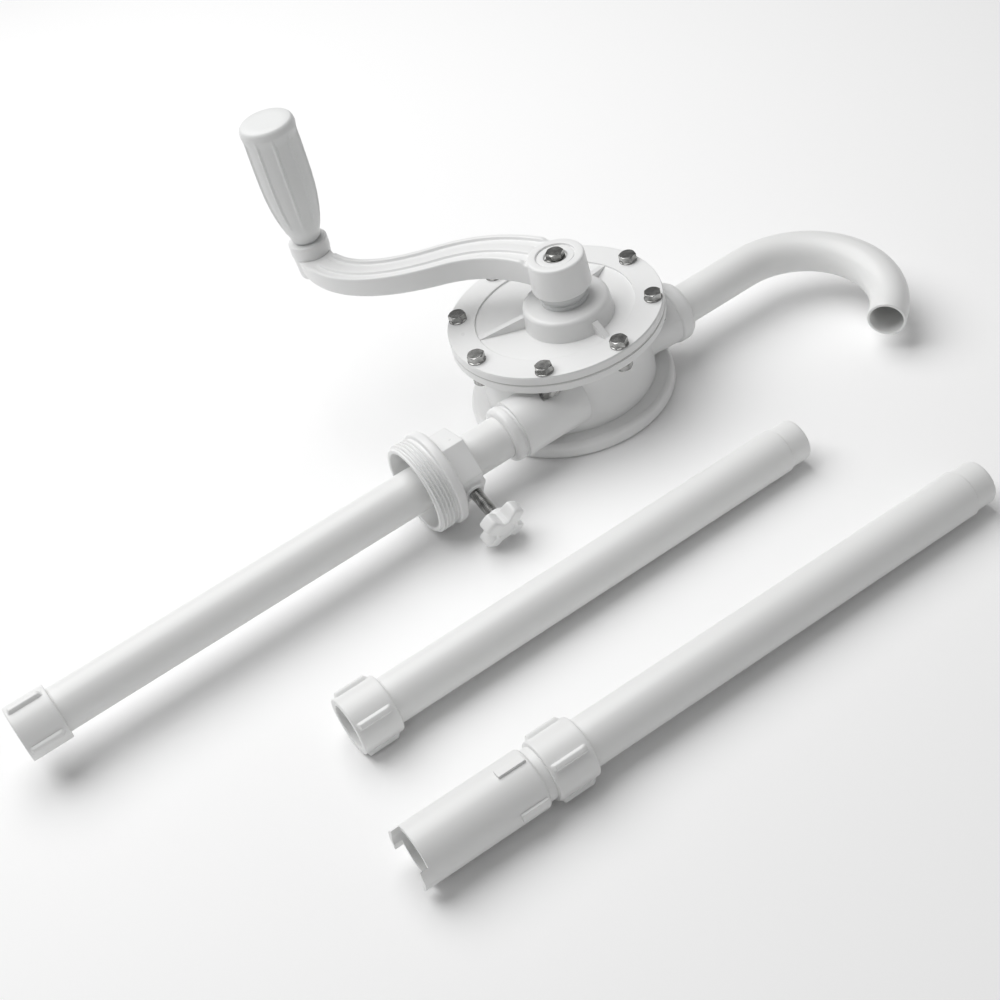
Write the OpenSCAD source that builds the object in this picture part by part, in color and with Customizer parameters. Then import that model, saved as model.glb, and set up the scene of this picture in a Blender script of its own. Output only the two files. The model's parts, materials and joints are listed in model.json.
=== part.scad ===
// Rotary hand pump for drums: an eccentric vane pump turned by a crank, with a
// sliding bung adapter, a bent spout and a suction tube in three lengths.
// Units are millimetres. The base flange stands on z = 0, the pump axis is +z,
// the suction side points to -x and the delivery side to +x.

/* [Body] */
// Bore of the pumping chamber
chamber_d = 100; // [80:1:130]
// Wall between the chamber and the outside of the body
body_wall = 6; // [4:0.5:10]
// How far the bolt flange stands out from the body
flange_w = 13.5; // [12:0.5:22]
// Thickness of the bolt flange
flange_t = 5.5; // [4:0.5:10]
// Height from the base to the joint face
body_h = 61; // [56:1:90]
// Thickness of the chamber floor
floor_t = 9; // [8:0.5:14]
// How far the base flange stands out from the body
base_w = 11.5; // [6:0.5:22]
// Thickness of the base flange
base_t = 11; // [6:0.5:14]
// Height of both ports above the base
port_z = 33; // [32.5:0.5:50]
// Sideways offset of the inlet
inlet_y = -38.6; // [-45:0.1:-20]
// Sideways offset of the outlet
outlet_y = -21.4; // [-30:0.1:0]
// Reach of each port from the pump axis
port_reach = 76.5; // [70:0.5:110]

/* [Cover] */
// Thickness of the cover
cover_t = 5.5; // [4:0.5:10]
// Thickness of the gasket
gasket_t = 1; // [0.5:0.1:2]
// Height of the bearing boss above the cover
boss_h = 12.6; // [10:0.2:24]
// Diameter of the bearing boss at its top
boss_d = 55.2; // [50:0.2:70]
// Number of cover bolts
bolt_count = 8; // [4:1:12]
// Thread diameter of the cover bolts
bolt_d = 6; // [5:0.05:8]
// Angle of the first bolt from the port line
bolt_phase = 4; // [0:1:45]

/* [Rotor] */
// Sideways offset of the crank axis along x
axis_x = 3; // [-4:0.5:4]
// Sideways offset of the crank axis along y
axis_y = -12; // [-14:0.5:-8]
// Thickness of a vane
vane_t = 6; // [4:0.5:10]
// Diameter of the drive shaft
shaft_d = 16; // [12:0.5:20]

/* [Crank] */
// Distance from the crank axis to the grip axis
throw = 172; // [120:1:220]
// Direction of the arm at rest, from the delivery side
crank_angle = 124.9; // [0:0.1:360]
// Width of the arm at the middle
arm_w = 25; // [18:0.5:32]
// Height of the arm at the hub
arm_h = 17.5; // [12:0.5:24]
// Diameter of the hub at its top
hub_d = 36; // [28:0.5:44]
// Height of the hub
hub_h = 22.5; // [18:0.5:32]
// Length of the grip
grip_l = 84; // [70:1:120]
// Largest diameter of the grip
grip_d = 36; // [28:0.5:42]

/* [Tubes] */
// Outside diameter of the suction tubes
tube_d = 28; // [24:0.5:34]
// Wall of the suction tubes
tube_wall = 2; // [1.5:0.1:3]
// Length of the fixed suction tube with its coupling
suction_l = 331; // [200:1:600]
// Length of the middle tube with its coupling
mid_l = 316; // [200:1:600]
// Length of the lower tube with its coupling
lower_l = 299.5; // [200:1:600]
// Outside diameter of the spout
spout_d = 26.5; // [20:0.5:30]
// Bend radius of the spout
spout_r = 55.4; // [45:0.1:90]
// Angle the spout bends through
spout_bend = 143.6; // [60:0.1:180]
// Straight run of the spout outside its socket
spout_l = 55.7; // [30:0.1:120]
// Angle the spout droops by, turned about its socket
spout_droop = 4.6; // [-90:0.1:10]

/* [Bung adapter] */
// Thread diameter of the bung adapter
bung_d = 59.6; // [50:0.1:80]
// Distance from the pump axis to the open rim
bung_x = 142; // [125:1:340]
// Direction of the clamp screw below the horizontal
clamp_angle = 20.5; // [0:1:60]

/* [Foot] */
// Outside diameter of the foot
foot_d = 34; // [33:0.5:60]
// Length of the foot
foot_l = 75; // [60:1:120]

/* [Hidden] */
eps = 0.01;
// running, sliding and seating gaps
run_gap = 0.05;
slip_gap = 0.1;
face_gap = 0.3;
seat_gap = 0.05;

// body and cover
chamber_r = chamber_d / 2;
body_r = chamber_r + body_wall;
flange_r = body_r + flange_w;
base_r = body_r + base_w;
bolt_circle_r = flange_r - 6.5;
bolt_r = bolt_d / 2;
bolt_hole_r = bolt_r + 0.15;
bolt_af = bolt_d * 1.667;
bolt_head_h = bolt_d * 0.66;
nut_h = bolt_d * 0.83;
bolt_tail = 1.5;
nut_face_r = bolt_af / 2 / cos(30) + 0.8;
cover_z = body_h + gasket_t;
cover_top = cover_z + cover_t;
ring_step = 1.2;
plate_top = cover_top - ring_step;
ring_w = 18;
ring_r = flange_r - ring_w;
boss_top = cover_top + boss_h;
boss_r = boss_d / 2;
boss_foot_r = boss_r + 1.3;
web_t = 4.2;
web_h = 8;
web_angles = [30, 153, 272];
collar_h = 8;
collar_r = 15;
rim_round = 4;

// ports
port_r = tube_d / 2 + 5;
port_bead_r = port_r - 0.7;
port_bead_l = 7;
port_groove_r = port_r - 2;
outlet_r = spout_d / 2 + 4;
outlet_lip_r = outlet_r + 2.8;
outlet_lip_l = 11;
column_r = 8;
column_z = 14;
column_angle = -55;
socket_depth = 24;
port_bore_r = 10;

// shaft and rotor
ecc = norm([axis_x, axis_y]);
ecc_angle = atan2(axis_y, axis_x);
slot_angle = ecc_angle + 90;
rotor_r = chamber_r - ecc - 0.45;
rotor_z0 = floor_t + face_gap;
rotor_z1 = cover_z - face_gap;
disc_r = 21.5;
disc_h = 4.8;
hub_drive_r = 14.1;
hub_drive_h = 5.4;
slot_w = vane_t + 2 * slip_gap;
vane_l = rotor_r - 7.2;
vane_tip_r = rotor_r - 0.2;
shaft_r = shaft_d / 2;
drive_af = shaft_r * 1.38;
bush_r = 11;
bush_z0 = rotor_z1 + disc_h + hub_drive_h + 0.8;
bush_h = boss_top - bush_z0 - 1.6;
seal_h = 5;
seal_z0 = boss_top - 1.4;
collar_top = boss_top + collar_h;

// crank
hub_z0 = collar_top + 1.5;
hub_top = hub_z0 + hub_h;
hub_r = hub_d / 2;
hub_foot_r = hub_r + 0.9;
recess_r = hub_r - 5.6;
recess_h = 3;
socket_top = hub_top - recess_h - 3.5;
crank_screw_r = 3;
screw_af = 10;
screw_head_h = 4.2;
washer_t = 1.5;
washer_r = 6.2;
grip_boss_r = 13;
grip_boss_top = hub_top + 8;
grip_boss_z0 = hub_top - 17;
grip_z0 = grip_boss_top + 1.8;
grip_neck_r = 9.5;
spindle_r = 5;
spindle_head_r = 7;
arm_rim_w = 3;
arm_rim_h = 1.6;
arm_band_w = 9;
arm_band_h = 0.9;
arm_steps = 44;
arm_rise = 2;

// tubes
tube_r = tube_d / 2;
tube_bore_r = tube_r - tube_wall;
spigot_r = tube_r - 1;
spigot_l = 13.5;
coupling_l = 25;
coupling_r = tube_r + 3.3;
coupling_rib_r = tube_r + 5.7;
coupling_rib_w = 4.6;
coupling_own = 10;
coupling_bore_r = spigot_r + 0.1;
spout_or = spout_d / 2;
spout_ir = spout_or - 1.8;
spout_end_l = 8;
spout_lap = 0.6;
seam = 0.02;

// bung adapter
bung_r = bung_d / 2;
thread_l = 12;
thread_n = 5;
thread_depth = 1.3;
relief_l = 1.5;
bung_flange_l = 7;
bung_flange_r = bung_r + 1.2;
bung_hex_l = 17;
bung_hex_af = tube_d + 12.5;
bung_wall = 4.2;
clamp_r = 4;
clamp_boss_r = 7;
clamp_boss_end = bung_hex_af / 2 + 3;
knob_r = 15.5;
knob_t = 10.5;
knob_lobe_r = 5.2;
knob_in = clamp_boss_end + 22;
bung_l = thread_l + relief_l + bung_flange_l + bung_hex_l;

// foot
foot_r = foot_d / 2;
foot_bore_r = foot_r - 3;
foot_rib_r = foot_r + 1.4;
foot_rib_l = 18;
foot_rib_w = 5;
foot_rib_angle = 0;
foot_notch_w = foot_r * 1.53;
foot_notch_l = 4.8;
foot_notch_angle = 16;
ball_r = 11.5;
seat_x = 30;
seat_t = 4;
seat_r = 9.5;
cap_l = 6;
neck_l = 5;
neck_r = tube_r + 1;

// where the loose tubes lie
mid_y = -156.5;
mid_x = -262;
mid_yaw = -0.25;
mid_tilt = atan2(coupling_r - tube_r, mid_l - spigot_l - coupling_l);
mid_z = coupling_r / cos(mid_tilt) + coupling_l * tan(mid_tilt);
lower_y = -255.3;
lower_x = -203;
lower_yaw = -1;
foot_contact = lower_x - neck_l - 2;
foot_rest = foot_rib_r * cos(foot_rib_angle) + foot_rib_w / 2 * sin(foot_rib_angle);
lower_tilt = atan2(foot_rest - tube_r, lower_x + lower_l - spigot_l - foot_contact);

plastic = [0.95, 0.95, 0.94];
plastic_dark = [0.86, 0.87, 0.87];
steel = [0.68, 0.69, 0.7];
rubber = [0.16, 0.16, 0.17];

// ---------- helpers ----------

// disc with rounded edges, axis z
module soft_disc(r, h, bottom, top) {
    rotate_extrude($fn = 160)
        soft_profile(r, h, bottom, top);
}

module soft_profile(r, h, bottom, top) {
    union() {
        translate([0, bottom]) square([r, h - bottom - top]);
        square([r - bottom, h]);
        translate([0, h - top - eps]) square([r - top, top + eps]);
        translate([r - bottom, bottom]) circle(bottom, $fn = 48);
        translate([r - top, h - top]) circle(top, $fn = 48);
    }
}

// cylinder along x starting at x0
module x_cyl(x0, l, r, r2 = -1) {
    translate([x0, 0, 0]) rotate([0, 90, 0])
        cylinder(h = l, r1 = r, r2 = r2 < 0 ? r : r2, $fn = 96);
}

module at_bolts() {
    for (i = [0 : bolt_count - 1])
        rotate([0, 0, bolt_phase + i * 360 / bolt_count])
            translate([bolt_circle_r, 0, 0])
                rotate([0, 0, 11 * i])
                    children();
}

module at_crank_axis() { translate([axis_x, axis_y, 0]) children(); }

module hexagon(af, h) { cylinder(h = h, r = af / 2 / cos(30), $fn = 6); }

module at_inlet() { translate([0, inlet_y, port_z]) children(); }

module at_outlet() { translate([0, outlet_y, port_z]) children(); }

module at_clamp() {
    at_inlet() translate([-bung_x + bung_l - bung_hex_l / 2, 0, 0])
        rotate([90 + clamp_angle, 0, 0]) children();
}

module at_crank() { at_crank_axis() rotate([0, 0, crank_angle]) children(); }

module at_grip() { at_crank() translate([throw, 0, 0]) children(); }

module at_mid() {
    translate([mid_x, mid_y, mid_z])
        rotate([0, mid_tilt, mid_yaw]) children();
}

module at_lower() {
    translate([foot_contact, lower_y, foot_rest / cos(lower_tilt)])
        rotate([0, lower_tilt, lower_yaw])
            translate([lower_x - foot_contact, 0, 0]) children();
}

// ---------- body ----------

module pump_body() {
    color(plastic) difference() {
        union() {
            soft_disc(base_r, base_t, 3, rim_round);
            cylinder(h = body_h, r = body_r, $fn = 180);
            translate([0, 0, body_h - flange_t]) soft_disc(flange_r, flange_t, 1, 0.4);
            rotate([0, 0, column_angle]) translate([body_r - 4, 0, column_z])
                soft_disc(column_r, body_h - column_z - 1, 4, 0.4);
            at_inlet() {
                x_cyl(-port_reach + port_bead_l + 1.5, port_reach - 30, port_r);
                x_cyl(-port_reach + 4, 20, port_groove_r);
                translate([-port_reach, 0, 0]) rotate([0, 90, 0])
                    soft_disc(port_bead_r, port_bead_l, 3, 2);
            }
            at_outlet() {
                x_cyl(20, port_reach - 20 - outlet_lip_l + 1, outlet_r - 1, outlet_lip_r - 1);
                translate([port_reach - outlet_lip_l, 0, 0]) rotate([0, 90, 0])
                    soft_disc(outlet_lip_r, outlet_lip_l, 2, 4);
            }
        }
        translate([0, 0, floor_t]) cylinder(h = body_h, r = chamber_r, $fn = 180);
        at_crank_axis() translate([0, 0, floor_t - 4])
            cylinder(h = 5, r = disc_r + face_gap, $fn = 120);
        at_inlet() {
            x_cyl(-port_reach - 1, socket_depth + 1, tube_r + seat_gap);
            x_cyl(-port_reach, port_reach - 20, port_bore_r);
        }
        at_outlet() {
            x_cyl(port_reach - socket_depth, socket_depth + 1, spout_or + run_gap);
            x_cyl(20, port_reach - 20, port_bore_r);
        }
        at_bolts() translate([0, 0, body_h - flange_t - 1])
            cylinder(h = flange_t + 2, r = bolt_hole_r, $fn = 40);
        // flat faces for the nuts
        at_bolts() translate([0, 0, body_h - flange_t - nut_h - bolt_tail - 0.4])
            cylinder(h = nut_h + bolt_tail + 0.4, r = nut_face_r, $fn = 60);
    }
}

module cover_gasket() {
    color(plastic_dark) translate([0, 0, body_h]) difference() {
        cylinder(h = gasket_t, r = flange_r - 0.8, $fn = 180);
        translate([0, 0, -1]) cylinder(h = gasket_t + 2, r = chamber_r + 0.4, $fn = 180);
        at_bolts() translate([0, 0, -1]) cylinder(h = gasket_t + 2, r = bolt_hole_r, $fn = 40);
    }
}

// distance from the crank axis to the step of the bolt ring in direction a
function web_reach(a) =
    let (b = axis_x * cos(a) + axis_y * sin(a), c = ecc * ecc - ring_r * ring_r)
    -b + sqrt(b * b - c);

module cover_web(a) {
    reach = web_reach(a) + 0.5;
    at_crank_axis() rotate([0, 0, a]) translate([0, web_t / 2, plate_top - eps])
        rotate([90, 0, 0]) linear_extrude(height = web_t)
            polygon([[0, 0], [reach, 0], [boss_foot_r, web_h], [0, web_h]]);
}

module cover() {
    color(plastic) difference() {
        union() {
            difference() {
                translate([0, 0, cover_z]) soft_disc(flange_r, cover_t, 0.4, 1.2);
                translate([0, 0, plate_top]) cylinder(h = 5, r = ring_r, $fn = 180);
            }
            at_crank_axis() translate([0, 0, plate_top - 1]) rotate_extrude($fn = 144)
                boss_profile();
            intersection() {
                union() for (a = web_angles) cover_web(a);
                cylinder(h = boss_top, r = ring_r + 0.2, $fn = 180);
            }
        }
        at_crank_axis() {
            translate([0, 0, cover_z - 1])
                cylinder(h = disc_h + 1.3, r = disc_r + face_gap, $fn = 120);
            translate([0, 0, cover_z])
                cylinder(h = disc_h + hub_drive_h + 0.5, r = hub_drive_r + face_gap, $fn = 96);
            translate([0, 0, bush_z0]) cylinder(h = 60, r = bush_r, $fn = 96);
            translate([0, 0, cover_z]) cylinder(h = 60, r = shaft_r + 0.6, $fn = 96);
        }
        at_bolts() translate([0, 0, cover_z - 1])
            cylinder(h = cover_t + 2, r = bolt_hole_r, $fn = 40);
    }
}

module boss_profile() {
    h = boss_top - plate_top + 1;
    edge = 3;
    difference() {
        union() {
            polygon([[0, 0], [boss_foot_r, 0], [boss_r, h - edge], [0, h - edge]]);
            square([boss_r - edge, h]);
            translate([boss_r - edge, h - edge]) circle(edge, $fn = 48);
        }
        translate([-10, -1]) square([10, h + 2]);
    }
}

module cover_bolts() {
    color(steel) at_bolts() {
        translate([0, 0, cover_top]) intersection() {
            hexagon(bolt_af, bolt_head_h);
            cylinder(h = bolt_head_h, r1 = bolt_af * 0.9, r2 = bolt_af * 0.51, $fn = 48);
        }
        tail = nut_h + bolt_tail;
        translate([0, 0, body_h - flange_t - tail])
            cylinder(h = cover_top - body_h + flange_t + tail + eps, r = bolt_r, $fn = 40);
    }
}

module cover_nuts() {
    color(steel) at_bolts() translate([0, 0, body_h - flange_t - nut_h]) difference() {
        intersection() {
            hexagon(bolt_af, nut_h);
            cylinder(h = nut_h, r1 = bolt_af * 0.53, r2 = bolt_af * 0.8, $fn = 48);
        }
        translate([0, 0, -1]) cylinder(h = nut_h + 2, r = bolt_r + seat_gap, $fn = 40);
    }
}

// ---------- shaft and rotor ----------

module shaft_bush() {
    color(plastic_dark) at_crank_axis() translate([0, 0, bush_z0]) difference() {
        cylinder(h = bush_h, r = bush_r - 0.02, $fn = 96);
        translate([0, 0, -1]) cylinder(h = bush_h + 2, r = shaft_r + run_gap, $fn = 96);
    }
}

module shaft_seal() {
    color(rubber) at_crank_axis() translate([0, 0, seal_z0]) difference() {
        soft_disc(bush_r - 0.02, seal_h, 0.4, 0.4);
        translate([0, 0, -1]) cylinder(h = seal_h + 2, r = shaft_r + run_gap, $fn = 96);
        translate([0, 0, seal_h - 1.6])
            cylinder(h = 3, r1 = shaft_r + 0.5, r2 = shaft_r + 3, $fn = 96);
    }
}

module seal_collar() {
    color(plastic_dark) at_crank_axis() translate([0, 0, boss_top]) difference() {
        soft_disc(collar_r, collar_h, 0.4, 1.5);
        translate([0, 0, -1]) cylinder(h = seal_h - 1.4 + 1.2, r = bush_r, $fn = 96);
        translate([0, 0, -1]) cylinder(h = collar_h + 2, r = shaft_r + face_gap, $fn = 96);
    }
}

module drive_shaft() {
    color(steel) at_crank() difference() {
        union() {
            translate([0, 0, bush_z0 - 0.5])
                cylinder(h = hub_z0 + 1 - bush_z0 + 0.5, r = shaft_r, $fn = 96);
            translate([-drive_af / 2, -drive_af / 2, rotor_z1 + 0.6])
                cube([drive_af, drive_af, socket_top - rotor_z1 - 0.8]);
        }
        translate([0, 0, socket_top - 20])
            cylinder(h = 30, r = crank_screw_r + seat_gap, $fn = 48);
        translate([0, 0, socket_top - 1.2])
            cylinder(h = 1.4, r1 = crank_screw_r, r2 = crank_screw_r + 1.2, $fn = 48);
    }
}

module rotor() {
    color(plastic_dark) at_crank_axis() difference() {
        union() {
            translate([0, 0, rotor_z0]) cylinder(h = rotor_z1 - rotor_z0, r = rotor_r, $fn = 144);
            translate([0, 0, floor_t - 3.6]) cylinder(h = 5, r = disc_r, $fn = 120);
            translate([0, 0, rotor_z1 - eps]) cylinder(h = disc_h, r = disc_r, $fn = 120);
            translate([0, 0, rotor_z1]) cylinder(h = disc_h + hub_drive_h, r = hub_drive_r, $fn = 96);
        }
        rotate([0, 0, slot_angle]) translate([-rotor_r - 1, -slot_w / 2, rotor_z0 - eps])
            cube([2 * rotor_r + 2, slot_w, rotor_z1 - rotor_z0]);
        rotate([0, 0, crank_angle])
            translate([-drive_af / 2 - seat_gap, -drive_af / 2 - seat_gap, rotor_z1 + 0.5])
                cube([drive_af + 2 * seat_gap, drive_af + 2 * seat_gap, 30]);
        for (a = [45 : 90 : 315]) rotate([0, 0, slot_angle + a])
            translate([rotor_r * 0.62, 0, rotor_z0 - 1]) cylinder(h = 20, r = 6, $fn = 48);
    }
}

// one vane with a rounded tip, pointing along +x from the crank axis
module vane_shape() {
    h = rotor_z1 - rotor_z0 - 0.2;
    translate([0, 0, rotor_z0 + 0.1]) linear_extrude(height = h) union() {
        translate([vane_tip_r - vane_l, -vane_t / 2]) square([vane_l - vane_t / 2, vane_t]);
        translate([vane_tip_r - vane_t / 2, 0]) circle(vane_t / 2, $fn = 48);
    }
}

module vane_a() { color(plastic) at_crank_axis() rotate([0, 0, slot_angle]) vane_shape(); }

module vane_b() { color(plastic) at_crank_axis() rotate([0, 0, slot_angle + 180]) vane_shape(); }

module coil_spring(l, r, wire_r, turns) {
    linear_extrude(height = l, twist = -360 * turns, slices = turns * 14)
        translate([r, 0]) circle(wire_r, $fn = 8);
}

module vane_springs() {
    gap = 2 * (vane_tip_r - vane_l);
    z_mid = (rotor_z0 + rotor_z1) / 2;
    color(steel) at_crank_axis() rotate([0, 0, slot_angle])
        for (z = [z_mid - 12, z_mid + 12])
            translate([-gap / 2 + 0.2, 0, z]) rotate([0, 90, 0])
                coil_spring(gap - 0.4, 2, 0.5, 6);
}

// ---------- crank ----------

// point on a cubic curve
function bez(p, t) =
    p[0] * pow(1 - t, 3) + p[1] * 3 * t * pow(1 - t, 2) + p[2] * 3 * t * t * (1 - t)
    + p[3] * pow(t, 3);

// centre line of the arm: two smooth bends that meet near the middle of the throw
arm_a = [[0, 0], [0.15, -0.055], [0.30, -0.075], [0.46, 0.022]] * throw;
arm_b = [[0.46, 0.022], [0.62, 0.119], [0.83, 0.190], [1, 0]] * throw;

function arm_p(t) = t < 0.5 ? bez(arm_a, 2 * t) : bez(arm_b, 2 * t - 1);

function arm_n(t) =
    let (d = arm_p(min(t + 0.01, 1)) - arm_p(max(t - 0.01, 0)))
    [-d[1], d[0]] / norm(d);

// half width: wide at the hub, waisted near the grip
function arm_hw(t) = arm_w / 2 + (hub_r - 3 - arm_w / 2) * pow(1 - t, 2.4)
    - (arm_w * 0.06) * t;

module arm_outline(k0, k1, t0 = 0, t1 = 1) {
    ts = [for (i = [0 : arm_steps]) t0 + (t1 - t0) * i / arm_steps];
    left = [for (t = ts) arm_p(t) + arm_n(t) * k0 * arm_hw(t)];
    right = [for (i = [arm_steps : -1 : 0]) arm_p(ts[i]) + arm_n(ts[i]) * k1 * arm_hw(ts[i])];
    polygon(concat(left, right));
}

// strip of the arm's top, from one offset to another, in millimetres from an edge
module arm_strip(side, inset, w, t0, t1) {
    ts = [for (i = [0 : arm_steps]) t0 + (t1 - t0) * i / arm_steps];
    left = [for (t = ts) arm_p(t) + arm_n(t) * side * (arm_hw(t) - inset)];
    right = [for (i = [arm_steps : -1 : 0])
        arm_p(ts[i]) + arm_n(ts[i]) * side * (arm_hw(ts[i]) - inset - w)];
    polygon(concat(left, right));
}

module arm_band(w, t0, t1) {
    ts = [for (i = [0 : arm_steps]) t0 + (t1 - t0) * i / arm_steps];
    left = [for (t = ts) arm_p(t) + arm_n(t) * w / 2];
    right = [for (i = [arm_steps : -1 : 0]) arm_p(ts[i]) - arm_n(ts[i]) * w / 2];
    polygon(concat(left, right));
}

module tapered_boss(r0, r1, h, edge) {
    rotate_extrude($fn = 120)
        polygon([[0, 0], [r0 - 0.6, 0], [r0, 0.6], [r1, h - edge], [r1 - edge, h], [0, h]]);
}

module crank_arm() {
    web_top = hub_top - arm_rim_h;
    z0 = hub_top - arm_h;
    color(plastic) at_crank() difference() {
        union() {
            difference() {
                translate([0, 0, z0]) linear_extrude(height = arm_h - arm_rim_h)
                    arm_outline(1, -1);
                // underside rises towards the grip
                translate([hub_r + 14, -throw, z0 - 30]) rotate([0, -arm_rise, 0])
                    cube([throw * 1.4, 2 * throw, 30]);
            }
            translate([0, 0, web_top - eps]) linear_extrude(height = arm_rim_h) union() {
                arm_strip(1, 0, arm_rim_w, 0.08, 0.97);
                arm_strip(-1, 0, arm_rim_w, 0.08, 0.97);
            }
            translate([0, 0, web_top - eps]) linear_extrude(height = arm_band_h)
                arm_band(arm_band_w, 0.06, 0.95);
            translate([0, 0, hub_z0]) tapered_boss(hub_foot_r, hub_r, hub_h, 1.2);
            translate([throw, 0, grip_boss_z0])
                tapered_boss(grip_boss_r - 1.5, grip_boss_r, grip_boss_top - grip_boss_z0, 1);
        }
        translate([0, 0, hub_top - recess_h]) cylinder(h = 20, r = recess_r, $fn = 120);
        translate([0, 0, hub_z0 - 1]) cylinder(h = 2.2, r = shaft_r + face_gap, $fn = 96);
        translate([-drive_af / 2 - seat_gap, -drive_af / 2 - seat_gap, hub_z0 - 1])
            cube([drive_af + 2 * seat_gap, drive_af + 2 * seat_gap, socket_top - hub_z0 + 1]);
        cylinder(h = hub_top + 5, r = crank_screw_r + 0.3, $fn = 48);
        translate([throw, 0, 0]) cylinder(h = 400, r = spindle_r, $fn = 64);
        translate([throw, 0, grip_boss_z0 - 1]) cylinder(h = 5, r = spindle_r + 3, $fn = 64);
    }
}

module crank_washer() {
    color(steel) at_crank() translate([0, 0, hub_top - recess_h]) difference() {
        cylinder(h = washer_t, r = washer_r, $fn = 72);
        translate([0, 0, -1]) cylinder(h = washer_t + 2, r = crank_screw_r + 0.3, $fn = 48);
    }
}

module crank_screw() {
    z = hub_top - recess_h + washer_t;
    color(steel) at_crank() {
        translate([0, 0, z]) intersection() {
            hexagon(screw_af, screw_head_h);
            cylinder(h = screw_head_h, r1 = screw_af * 0.9, r2 = screw_af * 0.51, $fn = 48);
        }
        translate([0, 0, socket_top - 17])
            cylinder(h = z - socket_top + 17 + eps, r = crank_screw_r, $fn = 48);
    }
}

module grip_spindle() {
    color(steel) at_grip() {
        translate([0, 0, grip_boss_z0 + 0.5]) cylinder(h = 3.4, r = spindle_r + 2.9, $fn = 64);
        translate([0, 0, grip_boss_z0 + 0.6])
            cylinder(h = grip_z0 + grip_l * 0.72 - grip_boss_z0, r = spindle_r - 0.02, $fn = 64);
        translate([0, 0, grip_z0 + grip_l * 0.72])
            cylinder(h = 2.5, r = spindle_head_r, $fn = 64);
        translate([0, 0, grip_z0 + grip_l * 0.72 + 2.5 - eps])
            cylinder(h = 3, r1 = spindle_head_r, r2 = spindle_r - 1, $fn = 64);
    }
}

module grip_washer() {
    color(plastic_dark) at_grip() translate([0, 0, grip_boss_top]) difference() {
        cylinder(h = 1.5, r = grip_neck_r - 1, $fn = 72);
        translate([0, 0, -1]) cylinder(h = 4, r = spindle_r + seat_gap, $fn = 64);
    }
}

// outline of the grip from the neck up
module grip_profile() {
    r = grip_d / 2;
    l = grip_l;
    polygon([
        [0, 0], [grip_neck_r, 0], [grip_neck_r + 0.4, l * 0.03], [r * 0.66, l * 0.09],
        [r * 0.76, l * 0.16], [r * 0.85, l * 0.24], [r * 0.92, l * 0.33], [r * 0.97, l * 0.43],
        [r * 0.995, l * 0.54], [r, l * 0.64], [r, l * 0.8], [r * 0.99, l - 5],
        [r * 0.975, l - 2.6], [r * 0.93, l - 0.9], [r * 0.87, l], [0, l]
    ]);
}

module grip() {
    flutes = 10;
    color(plastic) at_grip() translate([0, 0, grip_z0]) difference() {
        rotate_extrude($fn = 120) grip_profile();
        for (i = [0 : flutes - 1]) rotate([0, 0, (i + 0.5) * 360 / flutes])
            translate([grip_d / 2 + 4.6, 0, grip_l * 0.27]) rotate([0, 1.2, 0]) {
                cylinder(h = grip_l * 0.6, r = 5.4, $fn = 48);
                translate([0, 0, grip_l * 0.6]) sphere(r = 5.4, $fn = 48);
                sphere(r = 5.4, $fn = 48);
            }
        translate([0, 0, -1]) cylinder(h = grip_l * 0.72, r = spindle_r + run_gap, $fn = 64);
        translate([0, 0, grip_l * 0.72 - 1])
            cylinder(h = 8, r = spindle_head_r + face_gap, $fn = 64);
    }
}

// ---------- spout ----------

// straight pipe along x
module spout_pipe(x0, l) {
    difference() {
        x_cyl(x0, l, spout_or - seam);
        x_cyl(x0 - 1, l + 2, spout_ir + seam);
    }
}

module spout_elbow() {
    difference() {
        rotate_extrude(angle = spout_bend, $fn = 120)
            translate([spout_r, 0]) circle(spout_or, $fn = 72);
        rotate([0, 0, -2]) rotate_extrude(angle = spout_bend + 4, $fn = 120)
            translate([spout_r, 0]) circle(spout_ir, $fn = 72);
    }
}

module spout() {
    start = port_reach - socket_depth + 0.5;
    bend_x = port_reach + spout_l;
    color(plastic) at_outlet() rotate([spout_droop, 0, 0]) {
        spout_pipe(start, bend_x - start + spout_lap);
        translate([bend_x, -spout_r, 0]) {
            rotate([0, 0, 90 - spout_bend]) spout_elbow();
            rotate([0, 0, -spout_bend]) translate([-spout_lap, spout_r, 0])
                spout_pipe(0, spout_end_l + spout_lap);
        }
    }
}

// ---------- tubes ----------

// plain pipe along +x with a reduced end
module pipe(l, spigot) {
    difference() {
        union() {
            x_cyl(0, spigot ? l - spigot_l : l, tube_r);
            if (spigot) x_cyl(l - spigot_l - 1, spigot_l - 0.5, spigot_r);
            if (spigot) x_cyl(l - 1.5 - eps, 1.5, spigot_r, spigot_r - 0.8);
        }
        x_cyl(-1, l + 2, tube_bore_r);
    }
}

// push-fit sleeve from x = 0, its open socket at x = 0
module coupling(rib_phase) {
    difference() {
        union() {
            x_cyl(0, coupling_l - 1.5, coupling_r);
            x_cyl(coupling_l - 1.5 - eps, 1.5, coupling_r, coupling_r - 1.2);
            for (i = [0 : 3]) rotate([rib_phase + 90 * i, 0, 0]) coupling_rib();
        }
        x_cyl(-1, coupling_l - coupling_own, coupling_bore_r);
        x_cyl(coupling_l - coupling_own, coupling_own + 1, tube_r + seat_gap);
        x_cyl(-1, coupling_l + 2, tube_bore_r);
    }
}

module coupling_rib() {
    w = coupling_rib_w;
    translate([0, -w / 2, coupling_r - 1.5]) rotate([90, 0, 90])
        linear_extrude(height = coupling_l - 3) union() {
            square([w, coupling_rib_r - coupling_r + 0.7]);
            translate([0.8, 0]) square([w - 1.6, coupling_rib_r - coupling_r + 1.5]);
            for (y = [0.8, w - 0.8]) translate([y, coupling_rib_r - coupling_r + 0.7])
                circle(0.8, $fn = 32);
        }
}

module suction_tube() {
    start = port_reach + suction_l - coupling_l + coupling_own - 0.3;
    color(plastic) at_inlet() translate([-start, 0, 0])
        pipe(start - port_reach + socket_depth - 0.3, false);
}

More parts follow.
